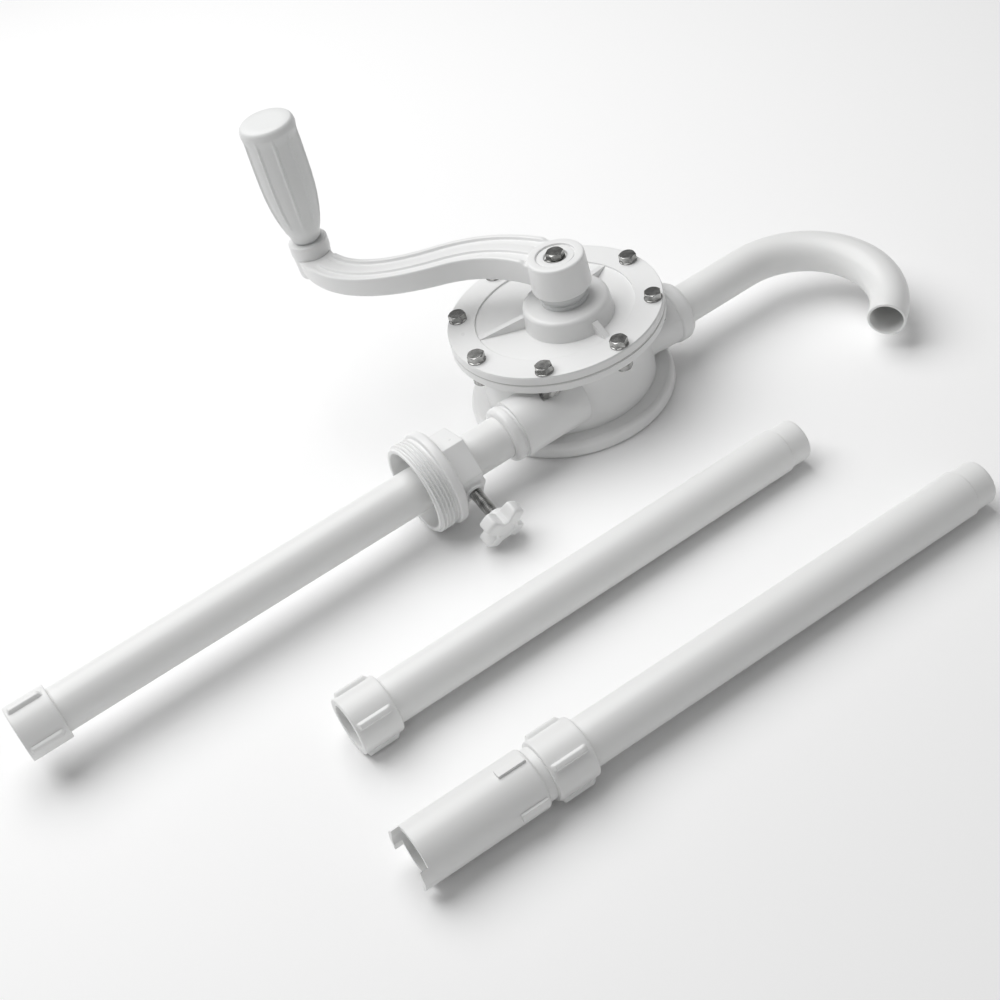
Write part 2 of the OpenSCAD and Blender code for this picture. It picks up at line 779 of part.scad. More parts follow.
module suction_coupling() {
    color(plastic) at_inlet() translate([-port_reach - suction_l, 0, 0]) coupling(0);
}

module mid_tube() {
    color(plastic) at_mid() translate([coupling_l - coupling_own + 0.3, 0, 0])
        pipe(mid_l - coupling_l + coupling_own - 0.3, true);
}

module mid_coupling() { color(plastic) at_mid() coupling(54); }

module lower_tube() {
    color(plastic) at_lower() translate([coupling_l - coupling_own + 0.3, 0, 0])
        pipe(lower_l - coupling_l + coupling_own - 0.3, true);
}

module lower_coupling() { color(plastic) at_lower() coupling(45); }

// ---------- foot ----------

module foot_cap() {
    color(plastic) at_lower() difference() {
        union() {
            x_cyl(-neck_l, neck_l, neck_r);
            x_cyl(-neck_l - cap_l, cap_l + eps, foot_bore_r - seat_gap);
            x_cyl(-eps, spigot_l - 0.5, spigot_r);
        }
        x_cyl(-60, 100, tube_bore_r - 2);
        x_cyl(-neck_l - cap_l - 1, cap_l - 1, foot_bore_r - 3);
    }
}

module foot() {
    color(plastic) at_lower() translate([-neck_l - foot_l, 0, 0]) difference() {
        union() {
            x_cyl(0, foot_l - 1, foot_r);
            x_cyl(foot_l - 1 - eps, 1, foot_r - seam, foot_r - 0.8);
            for (i = [0 : 3]) rotate([foot_rib_angle + 90 * i, 0, 0])
                translate([foot_l - foot_rib_l, -foot_rib_w / 2, foot_r - 1.5])
                    cube([foot_rib_l - 2, foot_rib_w, foot_rib_r - foot_r + 1.5]);
        }
        x_cyl(-1, seat_x + 1, foot_bore_r);
        x_cyl(seat_x - 1, seat_t + 2, seat_r);
        x_cyl(seat_x + seat_t, foot_l, foot_bore_r);
        for (i = [0 : 1]) rotate([foot_notch_angle + 180 * i, 0, 0])
            translate([-1, -foot_notch_w / 2, 0]) cube([foot_notch_l + 1, foot_notch_w, foot_r + 5]);
    }
}

module foot_ball() {
    rise = sqrt(ball_r * ball_r - seat_r * seat_r) + 0.15;
    color(plastic_dark) at_lower() translate([-neck_l - foot_l + seat_x + seat_t + rise, 0, 0])
        sphere(r = ball_r, $fn = 64);
}

// ---------- bung adapter ----------

module bung_thread_profile() {
    pitch = thread_l / thread_n;
    root = bung_r - thread_depth;
    points = [for (i = [0 : thread_n - 1]) each [
        [root, i * pitch], [bung_r, i * pitch + pitch * 0.32],
        [bung_r, i * pitch + pitch * 0.62], [root, i * pitch + pitch * 0.94]
    ]];
    polygon(concat([[0, 0]], points, [[root, thread_l + relief_l], [0, thread_l + relief_l]]));
}

module bung_adapter() {
    hollow = thread_l + relief_l + bung_flange_l - 3;
    color(plastic) at_inlet() translate([-bung_x, 0, 0]) difference() {
        union() {
            rotate([0, 90, 0]) rotate_extrude($fn = 144) bung_thread_profile();
            translate([thread_l + relief_l - eps, 0, 0]) rotate([0, 90, 0])
                soft_disc(bung_flange_r, bung_flange_l, 1.5, 3);
            translate([thread_l + relief_l + bung_flange_l - 2, 0, 0])
                rotate([clamp_angle, 0, 0]) rotate([0, 90, 0])
                    hexagon(bung_hex_af, bung_hex_l + 2);
            translate([bung_l - bung_hex_l / 2, 0, 0]) rotate([90 + clamp_angle, 0, 0])
                cylinder(h = clamp_boss_end, r = clamp_boss_r, $fn = 72);
        }
        x_cyl(-1, hollow + 1, bung_r - bung_wall);
        x_cyl(-1, bung_l + 2, tube_r + slip_gap);
        translate([bung_l - bung_hex_l / 2, 0, 0]) rotate([90 + clamp_angle, 0, 0])
            cylinder(h = clamp_boss_end + 1, r = clamp_r + run_gap, $fn = 64);
    }
}

module clamp_stud() {
    color(steel) at_clamp() {
        translate([0, 0, tube_r + 0.3]) cylinder(h = 1.2, r1 = clamp_r - 1, r2 = clamp_r, $fn = 64);
        translate([0, 0, tube_r + 1.5 - eps])
            cylinder(h = knob_in + knob_t - 2.5 - tube_r - 1.5, r = clamp_r, $fn = 64);
    }
}

module clamp_knob() {
    color(plastic) at_clamp() translate([0, 0, knob_in]) difference() {
        union() {
            translate([0, 0, -3]) cylinder(h = 3 + eps, r1 = 6.4, r2 = 7.4, $fn = 72);
            soft_disc(8.6, knob_t, 0.4, 1.8);
            for (i = [0 : 3]) rotate([0, 0, 45 + 90 * i])
                translate([knob_r - knob_lobe_r, 0, 0])
                    soft_disc(knob_lobe_r, knob_t - 1, 1, 1.6);
            for (i = [0 : 1]) rotate([0, 0, 45 + 90 * i])
                translate([knob_lobe_r - knob_r, -4, 0.6])
                    cube([2 * (knob_r - knob_lobe_r), 8, knob_t - 2.2]);
        }
        translate([0, 0, -4]) cylinder(h = knob_t + 1.5 + eps, r = clamp_r + 0.02, $fn = 64);
    }
}

// ---------- drawing ----------

pump_body();
cover();
cover_gasket();
cover_bolts();
cover_nuts();
shaft_bush();
shaft_seal();
seal_collar();
drive_shaft();
rotor();
vane_a();
vane_b();
vane_springs();
crank_arm();
crank_washer();
crank_screw();
grip_spindle();
grip_washer();
grip();
spout();
suction_tube();
suction_coupling();
bung_adapter();
clamp_stud();
clamp_knob();
mid_tube();
mid_coupling();
lower_tube();
lower_coupling();
foot_cap();
foot();
foot_ball();
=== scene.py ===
import json
import math

import bpy
import bmesh
from mathutils import Matrix, Vector


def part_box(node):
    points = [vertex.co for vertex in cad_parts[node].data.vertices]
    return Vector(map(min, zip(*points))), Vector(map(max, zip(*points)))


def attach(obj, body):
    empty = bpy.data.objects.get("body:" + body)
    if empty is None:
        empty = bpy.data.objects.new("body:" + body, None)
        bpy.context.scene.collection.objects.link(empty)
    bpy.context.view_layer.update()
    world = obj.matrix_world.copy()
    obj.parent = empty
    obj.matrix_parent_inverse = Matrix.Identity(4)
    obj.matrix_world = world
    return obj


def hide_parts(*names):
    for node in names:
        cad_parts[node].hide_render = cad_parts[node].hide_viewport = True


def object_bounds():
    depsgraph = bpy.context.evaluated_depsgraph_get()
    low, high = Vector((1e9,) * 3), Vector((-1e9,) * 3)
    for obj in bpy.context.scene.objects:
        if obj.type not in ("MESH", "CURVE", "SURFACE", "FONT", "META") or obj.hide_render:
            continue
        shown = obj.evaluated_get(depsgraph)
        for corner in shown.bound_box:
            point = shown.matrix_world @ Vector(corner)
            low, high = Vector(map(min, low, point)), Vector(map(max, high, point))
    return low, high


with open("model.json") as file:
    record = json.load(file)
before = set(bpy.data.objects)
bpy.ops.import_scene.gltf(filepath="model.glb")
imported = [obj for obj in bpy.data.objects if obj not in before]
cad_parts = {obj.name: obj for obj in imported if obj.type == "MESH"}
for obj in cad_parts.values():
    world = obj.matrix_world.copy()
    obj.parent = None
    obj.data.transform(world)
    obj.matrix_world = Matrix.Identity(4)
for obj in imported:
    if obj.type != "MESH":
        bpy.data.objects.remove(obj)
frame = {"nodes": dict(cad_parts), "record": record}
NODES = frame["nodes"]
START_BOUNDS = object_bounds()
MM = 0.001


# ---------- materials ----------

def new_material(name, color, roughness):
    mat = bpy.data.materials.new(name)
    mat.use_nodes = True
    tree = mat.node_tree
    bsdf = tree.nodes["Principled BSDF"]
    bsdf.inputs["Base Color"].default_value = (*color, 1)
    bsdf.inputs["Roughness"].default_value = roughness
    return mat, tree, bsdf


def add_node(tree, kind, **values):
    node = tree.nodes.new(kind)
    for key, value in values.items():
        if key in node.inputs:
            node.inputs[key].default_value = value
        else:
            setattr(node, key, value)
    return node


def noise(tree, scale, detail=2.0, stretch=(1, 1, 1)):
    """Noise in object space; scale is in features per metre."""
    coord = add_node(tree, "ShaderNodeTexCoord")
    mapping = add_node(tree, "ShaderNodeMapping")
    mapping.inputs["Scale"].default_value = stretch
    tex = add_node(tree, "ShaderNodeTexNoise", Scale=scale, Detail=detail)
    tree.links.new(coord.outputs["Object"], mapping.inputs["Vector"])
    tree.links.new(mapping.outputs["Vector"], tex.inputs["Vector"])
    return tex.outputs["Fac"]


def ramp(tree, fac, stops):
    node = add_node(tree, "ShaderNodeValToRGB")
    els = node.color_ramp.elements
    while len(els) < len(stops):
        els.new(0.5)
    for el, (pos, col) in zip(els, stops):
        el.position = pos
        el.color = (*col, 1) if len(col) == 3 else col
    tree.links.new(fac, node.inputs["Fac"])
    return node.outputs["Color"]


def grey_ramp(tree, fac, low, high):
    return ramp(tree, fac, [(0.15, (low, low, low)), (0.85, (high, high, high))])


def finish_surface(tree, bsdf, height, distance, strength, edge):
    """Fine relief over edges that are rounded by the radius edge."""
    soft = add_node(tree, "ShaderNodeBevel", samples=6, Radius=edge)
    node = add_node(tree, "ShaderNodeBump", Strength=strength, Distance=distance)
    tree.links.new(soft.outputs["Normal"], node.inputs["Normal"])
    tree.links.new(height, node.inputs["Height"])
    tree.links.new(node.outputs["Normal"], bsdf.inputs["Normal"])


def plastic(name, color, roughness, relief, stretch=(1, 1, 1), edge=0.0005):
    """Moulded plastic: faint clouding, uneven gloss and a slight flow relief."""
    mat, tree, bsdf = new_material(name, color, roughness)
    dull = tuple(c * 0.975 for c in color)
    cloud = noise(tree, 12, 1, stretch)
    tree.links.new(ramp(tree, cloud, [(0.1, dull), (0.9, color)]), bsdf.inputs["Base Color"])
    gloss = noise(tree, 60, 1, stretch)
    tree.links.new(
        grey_ramp(tree, gloss, roughness * 0.88, roughness * 1.15), bsdf.inputs["Roughness"]
    )
    finish_surface(tree, bsdf, noise(tree, 380, 0, stretch), relief, 0.12, edge)
    bsdf.inputs["IOR"].default_value = 1.49
    bsdf.inputs["Subsurface Weight"].default_value = 0.1
    bsdf.inputs["Subsurface Radius"].default_value = (0.003, 0.003, 0.0028)
    return mat


def metal(name, color, roughness):
    """Stainless steel with fine drawing lines and darker, uneven patches."""
    mat, tree, bsdf = new_material(name, color, roughness)
    bsdf.inputs["Metallic"].default_value = 1.0
    dark = tuple(c * 0.5 for c in color)
    patch = noise(tree, 260, 3)
    tree.links.new(ramp(tree, patch, [(0.35, dark), (0.65, color)]), bsdf.inputs["Base Color"])
    lines = noise(tree, 700, 2, (1, 1, 0.1))
    tree.links.new(
        grey_ramp(tree, lines, roughness * 0.75, roughness * 1.4), bsdf.inputs["Roughness"]
    )
    finish_surface(tree, bsdf, noise(tree, 600, 1, (1, 1, 0.2)), 0.00003, 0.5, 0.0003)
    return mat


ALONG_TUBE = (0.08, 1, 1)
MATERIALS = {
    "body_plastic": plastic("body_plastic", (0.87, 0.872, 0.868), 0.30, 0.00003, edge=0.0007),
    "tube_plastic": plastic("tube_plastic", (0.86, 0.862, 0.855), 0.34, 0.00003, ALONG_TUBE),
    "grip_plastic": plastic("grip_plastic", (0.78, 0.787, 0.782), 0.42, 0.00005),
    "inner_plastic": plastic("inner_plastic", (0.72, 0.73, 0.73), 0.42, 0.00004),
    "gasket_rubber": plastic("gasket_rubber", (0.6, 0.6, 0.59), 0.6, 0.00006, edge=0.0002),
    "stainless": metal("stainless", (0.46, 0.46, 0.45), 0.2),
    "rubber": plastic("rubber", (0.02, 0.02, 0.02), 0.6, 0.0001),
}
SLOTS = {part["node"]: part["material_slot"] for part in frame["record"]["subparts"]}

for node_name, slot_name in SLOTS.items():
    mesh = NODES[node_name].data
    mesh.materials.clear()
    mesh.materials.append(MATERIALS[slot_name])


# ---------- where the CAD has things ----------

RECORD = frame["record"]
MOUNTS = {mount["name"]: mount for mount in RECORD["mounts"]}
JOINTS = {joint["name"]: joint for joint in RECORD["behaviour"]["joints"]}
BODY_OF = {
    node: body for body, nodes in RECORD["behaviour"]["bodies"].items() for node in nodes
}


def mm_box(node):
    """Lowest and highest corner of a CAD node in millimetres."""
    low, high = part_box(node)
    return Vector(low) / MM, Vector(high) / MM


def at(entry):
    """Place of a mount or joint in millimetres."""
    return Vector(entry["pos_m"]) / MM


def axes(origin, z, x):
    """Matrix of a local frame at origin with that z direction and x near that direction."""
    z = Vector(z).normalized()
    x = Vector(x)
    x = (x - z * x.dot(z)).normalized()
    y = z.cross(x)
    turn = Matrix((x, y, z)).transposed().to_4x4()
    return Matrix.Translation(Vector(origin)) @ turn


# ---------- shapes, in millimetres ----------

def smoothstep(low, high, value):
    t = min(max((value - low) / (high - low), 0), 1)
    return t * t * (3 - 2 * t)


def rounded(points, closed=True, steps=5):
    """Corners (x, y, radius) turned into an outline with an arc at each corner."""
    out = []
    count = len(points)
    for i, (x, y, radius) in enumerate(points):
        here = Vector((x, y))
        if radius <= 0 or (not closed and i in (0, count - 1)):
            out.append(here)
            continue
        back = Vector(points[i - 1][:2]) - here
        ahead = Vector(points[(i + 1) % count][:2]) - here
        half = back.angle(ahead) / 2
        if half > math.radians(89):
            out += [here] * (steps + 1)
            continue
        cut = min(radius / math.tan(half), back.length * 0.49, ahead.length * 0.49)
        radius = cut * math.tan(half)
        middle = (back.normalized() + ahead.normalized()).normalized()
        centre = here + middle * (radius / math.sin(half))
        start = here + back.normalized() * cut - centre
        end = here + ahead.normalized() * cut - centre
        sweep = start.angle_signed(end)
        for k in range(steps + 1):
            turn = Matrix.Rotation(-sweep * k / steps, 2)
            out.append(centre + turn @ start)
    return out


class Shape:
    """Faces gathered for one piece."""

    def __init__(self):
        self.verts = []
        self.faces = []

    def rings(self, rings, matrix=None, caps=False, loop=False):
        """Skin over rings of points; loop joins the last ring to the first."""
        first = len(self.verts)
        count = len(rings[0])
        for ring in rings:
            for point in ring:
                self.verts.append(matrix @ Vector(point) if matrix else Vector(point))
        last = len(rings) if loop else len(rings) - 1
        for i in range(last):
            j = (i + 1) % len(rings)
            for k in range(count):
                m = (k + 1) % count
                a, b = first + i * count, first + j * count
                self.faces.append((a + k, a + m, b + m, b + k))
        if caps:
            self.faces.append(tuple(first + k for k in range(count)))
            end = first + (len(rings) - 1) * count
            self.faces.append(tuple(end + k for k in range(count)))

    def lathe(self, profile, matrix=None, count=96, loop=True, bend=None):
        """Outline (r, z) turned about z; bend(angle, r, z) may give another radius."""
        rings = []
        for r, z in profile:
            ring = []
            for k in range(count):
                angle = 2 * math.pi * k / count
                radius = bend(angle, r, z) if bend else r
                ring.append((radius * math.cos(angle), radius * math.sin(angle), z))
            rings.append(ring)
        self.rings(rings, matrix, loop=loop)

    def piece(self, name, replaced, sharp=40):
        """Makes the object, in the place and with the finish of the node it replaces."""
        bm = bmesh.new()
        verts = [bm.verts.new(v * MM) for v in self.verts]
        for face in self.faces:
            bm.faces.new([verts[i] for i in face])
        bmesh.ops.remove_doubles(bm, verts=bm.verts, dist=1e-7)
        bmesh.ops.recalc_face_normals(bm, faces=bm.faces)
        mesh = bpy.data.meshes.new(name)
        bm.to_mesh(mesh)
        bm.free()
        mesh.shade_smooth()
        mesh.set_sharp_from_angle(angle=math.radians(sharp))
        mesh.materials.append(MATERIALS[SLOTS[replaced]])
        obj = bpy.data.objects.new(name, mesh)
        bpy.context.scene.collection.objects.link(obj)
        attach(obj, BODY_OF[replaced])
        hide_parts(replaced)
        return obj


def hex_radius(across, angle):
    """Distance to the edge of a hexagon that is that wide across its flats."""
    sector = math.radians(60)
    inside = (angle + sector / 2) % sector - sector / 2
    return across / 2 / math.cos(inside)


def hex_bend(across):
    return lambda angle, r, z: min(r, hex_radius(across, angle)) if r > across * 0.47 else r


def hex_profile(across, z0, z1, bore, under, over):
    """Outline of a hexagon head or nut; its chamfers cut the corners by under and over."""
    corner = across / 2 / math.cos(math.radians(30))
    flat = across / 2 * 0.97
    rise = (corner - flat) * 0.58
    inner = bore if bore else 0
    points = [(inner, z0)]
    points += [(flat, z0), (corner, z0 + rise)] if under else [(corner, z0)]
    points += [(corner, z1 - rise), (flat, z1)] if over else [(corner, z1)]
    points.append((inner, z1))
    fine = []
    for (r0, h0), (r1, h1) in zip(points, points[1:]):
        steps = 6 if h0 != h1 and r0 != r1 else 1
        fine += [(r0 + (r1 - r0) * k / steps, h0 + (h1 - h0) * k / steps) for k in range(steps)]
    return fine + [points[-1]]


def thread_bend(root, depth, pitch, z0, z1, fade):
    """Radius of a rounded screw thread that fades out at both ends."""
    def bend(angle, r, z):
        if r < root - 0.01 or z < z0 or z > z1:
            return r
        phase = (z / pitch - angle / (2 * math.pi)) % 1
        tooth = smoothstep(0.05, 0.32, phase) - smoothstep(0.6, 0.9, phase)
        ends = smoothstep(z0, z0 + fade, z) * (1 - smoothstep(z1 - fade, z1, z))
        return root + depth * tooth * ends
    return bend


def steps_between(r, z0, z1, count):
    return [(r, z0 + (z1 - z0) * k / count) for k in range(count + 1)]


# ---------- tubes, sleeves and spout ----------

TUBE_R = (mm_box("suction_tube")[1].z - mm_box("suction_tube")[0].z) / 2
TUBE_WALL = 2.0
SOCKET_R = MOUNTS["suction_socket"]["dims"]["r_mm"]
SPIGOT_R = MOUNTS["mid_tube_plug"]["dims"]["r_mm"]
SPIGOT_L = 13.5
SLEEVE_L = 25.0
SLEEVE_OWN = 10.0
SLEEVE_R = TUBE_R + 3.3
SLEEVE_RIB_R = TUBE_R + 5.7
SLEEVE_RIB_W = 4.6
SOCKET_TO_MOUNT = 7.0


def sleeve(name, matrix, phase):
    """Push-fit sleeve with four rounded ribs, open end at local z = 0."""
    bore = TUBE_R - TUBE_WALL
    stop = SLEEVE_L - SLEEVE_OWN
    outside = [(SLEEVE_R, z) for z in (2, 2.8, 3.8, 5, 8, 12, 16, 19, 20.5, 21.5, 22.4)]
    profile = rounded([
        (SOCKET_R, stop - 2.6, 0), (SOCKET_R, 0.0, 0.8), (SLEEVE_R, 0.0, 1.0),
        (SLEEVE_R, 1.6, 0)
    ], closed=False)
    profile += [Vector(p) for p in outside]
    profile += rounded([
        (SLEEVE_R, 23.0, 0), (SLEEVE_R, SLEEVE_L, 1.8), (TUBE_R + 0.05, SLEEVE_L, 0.3),
        (TUBE_R + 0.05, stop, 0), (bore, stop, 0.4), (bore, stop - 2.6, 0.4)
    ], closed=False)

    def bend(angle, r, z):
        if r < SLEEVE_R - 0.01:
            return r
        turn = (angle - phase + math.pi / 4) % (math.pi / 2) - math.pi / 4
        across = abs(turn) * SLEEVE_RIB_R
        rib = 1 - smoothstep(SLEEVE_RIB_W / 2 - 1.0, SLEEVE_RIB_W / 2 + 0.3, across)
        rib *= smoothstep(1.4, 2.9, z) * (1 - smoothstep(20.6, 22.6, z))
        return r + (SLEEVE_RIB_R - SLEEVE_R) * rib

    shape = Shape()
    shape.lathe(profile, matrix, 240, bend=bend)
    shape.piece(name, name, 50)


def tube(name, matrix, length, plug):
    """Pipe from local z = 0, with a reduced end if it plugs into another."""
    bore = TUBE_R - TUBE_WALL
    if plug:
        outside = [
            (TUBE_R, length - SPIGOT_L - 0.8, 0.5), (SPIGOT_R, length - SPIGOT_L, 0.4),
            (SPIGOT_R, length - 1.2, 0.6), (SPIGOT_R - 0.6, length, 0.3)
        ]
    else:
        outside = [(TUBE_R, length, 0.5)]
    profile = rounded([(bore, 0, 0.3), (TUBE_R, 0, 0.5), *outside, (bore, length, 0.3)])
    shape = Shape()
    shape.lathe(profile, matrix, 128)
    shape.piece(name, name)


UP = Vector((0, 0, 1))
SUCTION_AXIS = Vector(MOUNTS["suction_socket"]["axis"])
INLET = at(MOUNTS["suction_socket"])


def suction_line():
    """Fixed suction tube and the sleeve on its far end."""
    open_end = INLET + SUCTION_AXIS * SOCKET_TO_MOUNT
    sleeve("suction_coupling", axes(open_end, -SUCTION_AXIS, UP), 0)
    low, high = mm_box("suction_tube")
    start = Vector((high.x, INLET.y, INLET.z))
    tube("suction_tube", axes(start, SUCTION_AXIS, UP), high.x - low.x, False)


def loose_line(tube_node, sleeve_node, plug, phase):
    """A loose tube with its sleeve at one end; plug is the mount at its other end."""
    axis = Vector(plug["axis"])
    end = at(plug) + axis * (SPIGOT_L + 1.5) / 2
    sleeve_box = mm_box(sleeve_node)
    middle = (sleeve_box[0] + sleeve_box[1]) / 2
    sleeve_start = end - axis * ((end - middle).dot(axis) + SLEEVE_L / 2)
    sleeve(sleeve_node, axes(sleeve_start, axis, UP), math.radians(phase))
    tube_start = sleeve_start + axis * (SLEEVE_L - SLEEVE_OWN + 0.3)
    tube(tube_node, axes(tube_start, axis, UP), (end - tube_start).length, True)


def spout():
    """Bent pipe: its bend follows from the socket's place and the mouth's."""
    mouth = MOUNTS["spout_mouth"]
    start = at(JOINTS["spout_swivel"])
    forward = Vector(JOINTS["spout_swivel"]["axis"])
    out = Vector(mouth["axis"]).normalized()
    end_l = mouth["dims"]["length_mm"]
    bend_end = at(mouth) - out * end_l / 2
    angle = forward.angle(out)
    side = (out - forward * out.dot(forward)).normalized()
    offset = bend_end - start
    radius = offset.dot(side) / (1 - math.cos(angle))
    straight = offset.dot(forward) - radius * math.sin(angle)
    outer = mouth["dims"]["r_mm"]
    inner = outer - 1.8
    inside = start.x - mm_box("spout")[0].x

    def station(t):
        """Point and direction of the centre line at t millimetres past the socket."""
        if t <= straight:
            return start + forward * t, forward
        turned = (t - straight) / radius
        if turned <= angle:
            direction = forward * math.cos(turned) + side * math.sin(turned)
            arc = forward * math.sin(turned) + side * (1 - math.cos(turned))
            return start + forward * straight + arc * radius, direction
        return bend_end + out * (t - straight - radius * angle), out

    total = straight + radius * angle + end_l
    normal = forward.cross(side)
    stops = [-inside, 0, straight]
    stops += [straight + radius * angle * k / 48 for k in range(1, 49)]
    outer_ends = [(total - 0.6, 0), (total - 0.25, -0.12), (total - 0.06, -0.35), (total, -0.6)]
    inner_ends = [(total, 0.5), (total - 0.12, 0.2), (total - 0.5, 0)]
    line = [(t, outer) for t in stops] + [(t, outer + d) for t, d in outer_ends]
    line += [(t, inner + d) for t, d in inner_ends] + [(t, inner) for t in reversed(stops)]
    rings = []
    for t, radius_here in line:
        centre, direction = station(t)
        across = normal.cross(direction)
        # the pipe is drawn in a little towards its mouth
        radius_here -= 1.1 * smoothstep(total - 60, total, t)
        rings.append([
            centre + (normal * math.cos(a) + across * math.sin(a)) * radius_here
            for a in (2 * math.pi * k / 96 for k in range(96))
        ])
    shape = Shape()
    shape.rings(rings, loop=True)
    shape.piece("spout", "spout")


# ---------- bung adapter and clamp ----------

BUNG_THREAD_L = 12.0
BUNG_THREAD_DEPTH = 1.5
BUNG_TURNS = 5
BUNG_RELIEF = 1.5
BUNG_FLANGE_L = 7.0
BUNG_WALL = 4.2
HEX_FLATS = 2 * TUBE_R + 12.5
CLAMP_BOSS_TOP = HEX_FLATS / 2 + 3
CLAMP_BOSS_R = 7.0
KNOB_Z = CLAMP_BOSS_TOP + 22
KNOB_T = 10.5
KNOB_R = 15.5
KNOB_CORE_R = 7.5
STUD_R = 4.0
STUD_PITCH = 1.25
STUD_THREAD_DEPTH = 0.75


def bung():
    """Threaded ring, flange, hexagon and the boss of the clamp screw."""
    thread = MOUNTS["bung_thread"]
    crest = thread["dims"]["r_mm"]
    low, high = mm_box("bung_adapter")
    length = high.x - low.x
    origin = Vector((low.x, at(thread).y, at(thread).z))
    place = axes(origin, (1, 0, 0), UP)
    root = crest - BUNG_THREAD_DEPTH
    inner = crest - BUNG_WALL
    tube_hole = TUBE_R + 0.15
    shoulder = BUNG_THREAD_L + BUNG_RELIEF
    flange_end = shoulder + BUNG_FLANGE_L
    flange_r = crest + 1.2
    floor = flange_end - 3
    thread_z = 0.9
    profile = rounded([
        (tube_hole, floor, 0.4), (inner, floor, 1.5), (inner, 0, 0.8), (root, 0, 0.6),
        (root, thread_z, 0)
    ])[:-1]
    profile += [Vector(p) for p in steps_between(root, thread_z, BUNG_THREAD_L, 60)]
    profile += rounded([
        (root, BUNG_THREAD_L + 0.1, 0), (root, shoulder, 0.7), (flange_r, shoulder, 1.5),
        (flange_r, flange_end, 3.0), (tube_hole, flange_end, 0)
    ], closed=False)
    pitch = BUNG_THREAD_L / BUNG_TURNS
    thread_of = thread_bend(root, BUNG_THREAD_DEPTH, pitch, thread_z, BUNG_THREAD_L, 1.0)

    def threaded(angle, r, z):
        return r if abs(r - root) > 0.01 else thread_of(angle, r, z)

    shape = Shape()
    shape.lathe(profile, place, 220, bend=threaded)

    clamp = Vector(JOINTS["clamp_turn"]["axis"])
    across = place.to_3x3().inverted() @ clamp
    phase = math.atan2(across.y, across.x)
    start = flange_end - 1
    hexagon = rounded([
        (tube_hole, start, 0), (HEX_FLATS, start, 0), (HEX_FLATS, length, 1.4),
        (tube_hole, length, 0.6)
    ])

    def hex_round(angle, r, z):
        if r < tube_hole + 0.3:
            return r
        return hex_radius(HEX_FLATS, angle - phase) * (r / HEX_FLATS)

    shape.lathe(hexagon, place, 240, bend=hex_round)
    boss = axes(at(JOINTS["clamp_turn"]), clamp, (1, 0, 0))
    hole = STUD_R + 0.1
    profile = rounded([
        (hole, TUBE_R + 1, 0), (10.5, TUBE_R + 1, 0), (10.0, HEX_FLATS / 2 - 0.4, 0),
        (CLAMP_BOSS_R, HEX_FLATS / 2 + 0.3, 2.2), (CLAMP_BOSS_R, CLAMP_BOSS_TOP, 1.0),
        (hole, CLAMP_BOSS_TOP, 0.4)
    ])
    shape.lathe(profile, boss, 72)
    shape.piece("bung_adapter", "bung_adapter")


def clamp_parts():
    """Threaded stud and its four-armed knob."""
    axis = Vector(JOINTS["clamp_turn"]["axis"])
    place = axes(at(JOINTS["clamp_turn"]), axis, (1, 0, 0))
    root = STUD_R - STUD_THREAD_DEPTH
    z0, z1 = TUBE_R + 1.5, KNOB_Z + 1
    stud_end = KNOB_Z + KNOB_T - 3
    profile = [Vector((0, TUBE_R + 0.3)), Vector((STUD_R - 1, TUBE_R + 0.3))]
    profile += [Vector(p) for p in steps_between(root, z0, z1, 240)]
    profile += [Vector((root, stud_end)), Vector((0, stud_end))]
    thread_of = thread_bend(root - 0.01, STUD_THREAD_DEPTH, STUD_PITCH, z0, z1, 1.0)

    def threaded(angle, r, z):
        return r if r < 3.2 else thread_of(angle, r, z)

    stud = Shape()
    stud.lathe(profile, place, 48, loop=False, bend=threaded)
    stud.piece("clamp_stud", "clamp_stud", 60)

    def lobed(angle, r, z):
        """Four broad arms with hollow flanks between them."""
        if r < KNOB_CORE_R:
            return r
        wave = (1 + math.cos(4 * (angle - math.pi / 4))) / 2
        arm = 0.06 + 0.94 * smoothstep(0.12, 0.78, wave)
        return KNOB_CORE_R + (r - KNOB_CORE_R) * arm

    knob = Shape()
    profile = rounded([
        (4.1, -3, 0.3), (6.4, -3, 0.8), (7.4, 0.2, 0.5), (KNOB_R, 0.4, 1.6),
        (KNOB_R, KNOB_T - 0.8, 2.4), (8.0, KNOB_T, 1.0), (6.0, KNOB_T, 0.5),
        (5.4, KNOB_T - 0.7, 0.5), (0, KNOB_T - 0.7, 0)
    ], closed=False)
    lift = Matrix.Translation((0, 0, KNOB_Z))
    knob.lathe(profile, place @ lift, 160, loop=False, bend=lobed)
    knob.piece("clamp_knob", "clamp_knob", 50)


# ---------- bolts ----------

BOLT_HEAD_H = 3.96
BOLT_HEAD_RISE = 0.9
BOLT_ACROSS = 10.0
BOLT_R = 3.0
FLANGE_HEAD_R = 5.9
HEAD_SPACING = 14


def bolt_centres():
    """Axes of the cover bolts, from the corners of their heads."""
    node = NODES["cover_bolts"]
    top = mm_box("cover_bolts")[1].z
    found = []
    for vertex in node.data.vertices:
        point = node.matrix_world @ vertex.co / MM
        if point.z < top - 0.05:
            continue
        for group in found:
            if (group[0] - point).length < HEAD_SPACING:
                group.append(point)
                break
        else:
            found.append([point])
    centres = []
    for group in found:
        low = Vector([min(p[i] for p in group) for i in range(3)])
        high = Vector([max(p[i] for p in group) for i in range(3)])
        centres.append((low + high) / 2)
    return sorted(centres, key=lambda p: math.atan2(p.y, p.x))


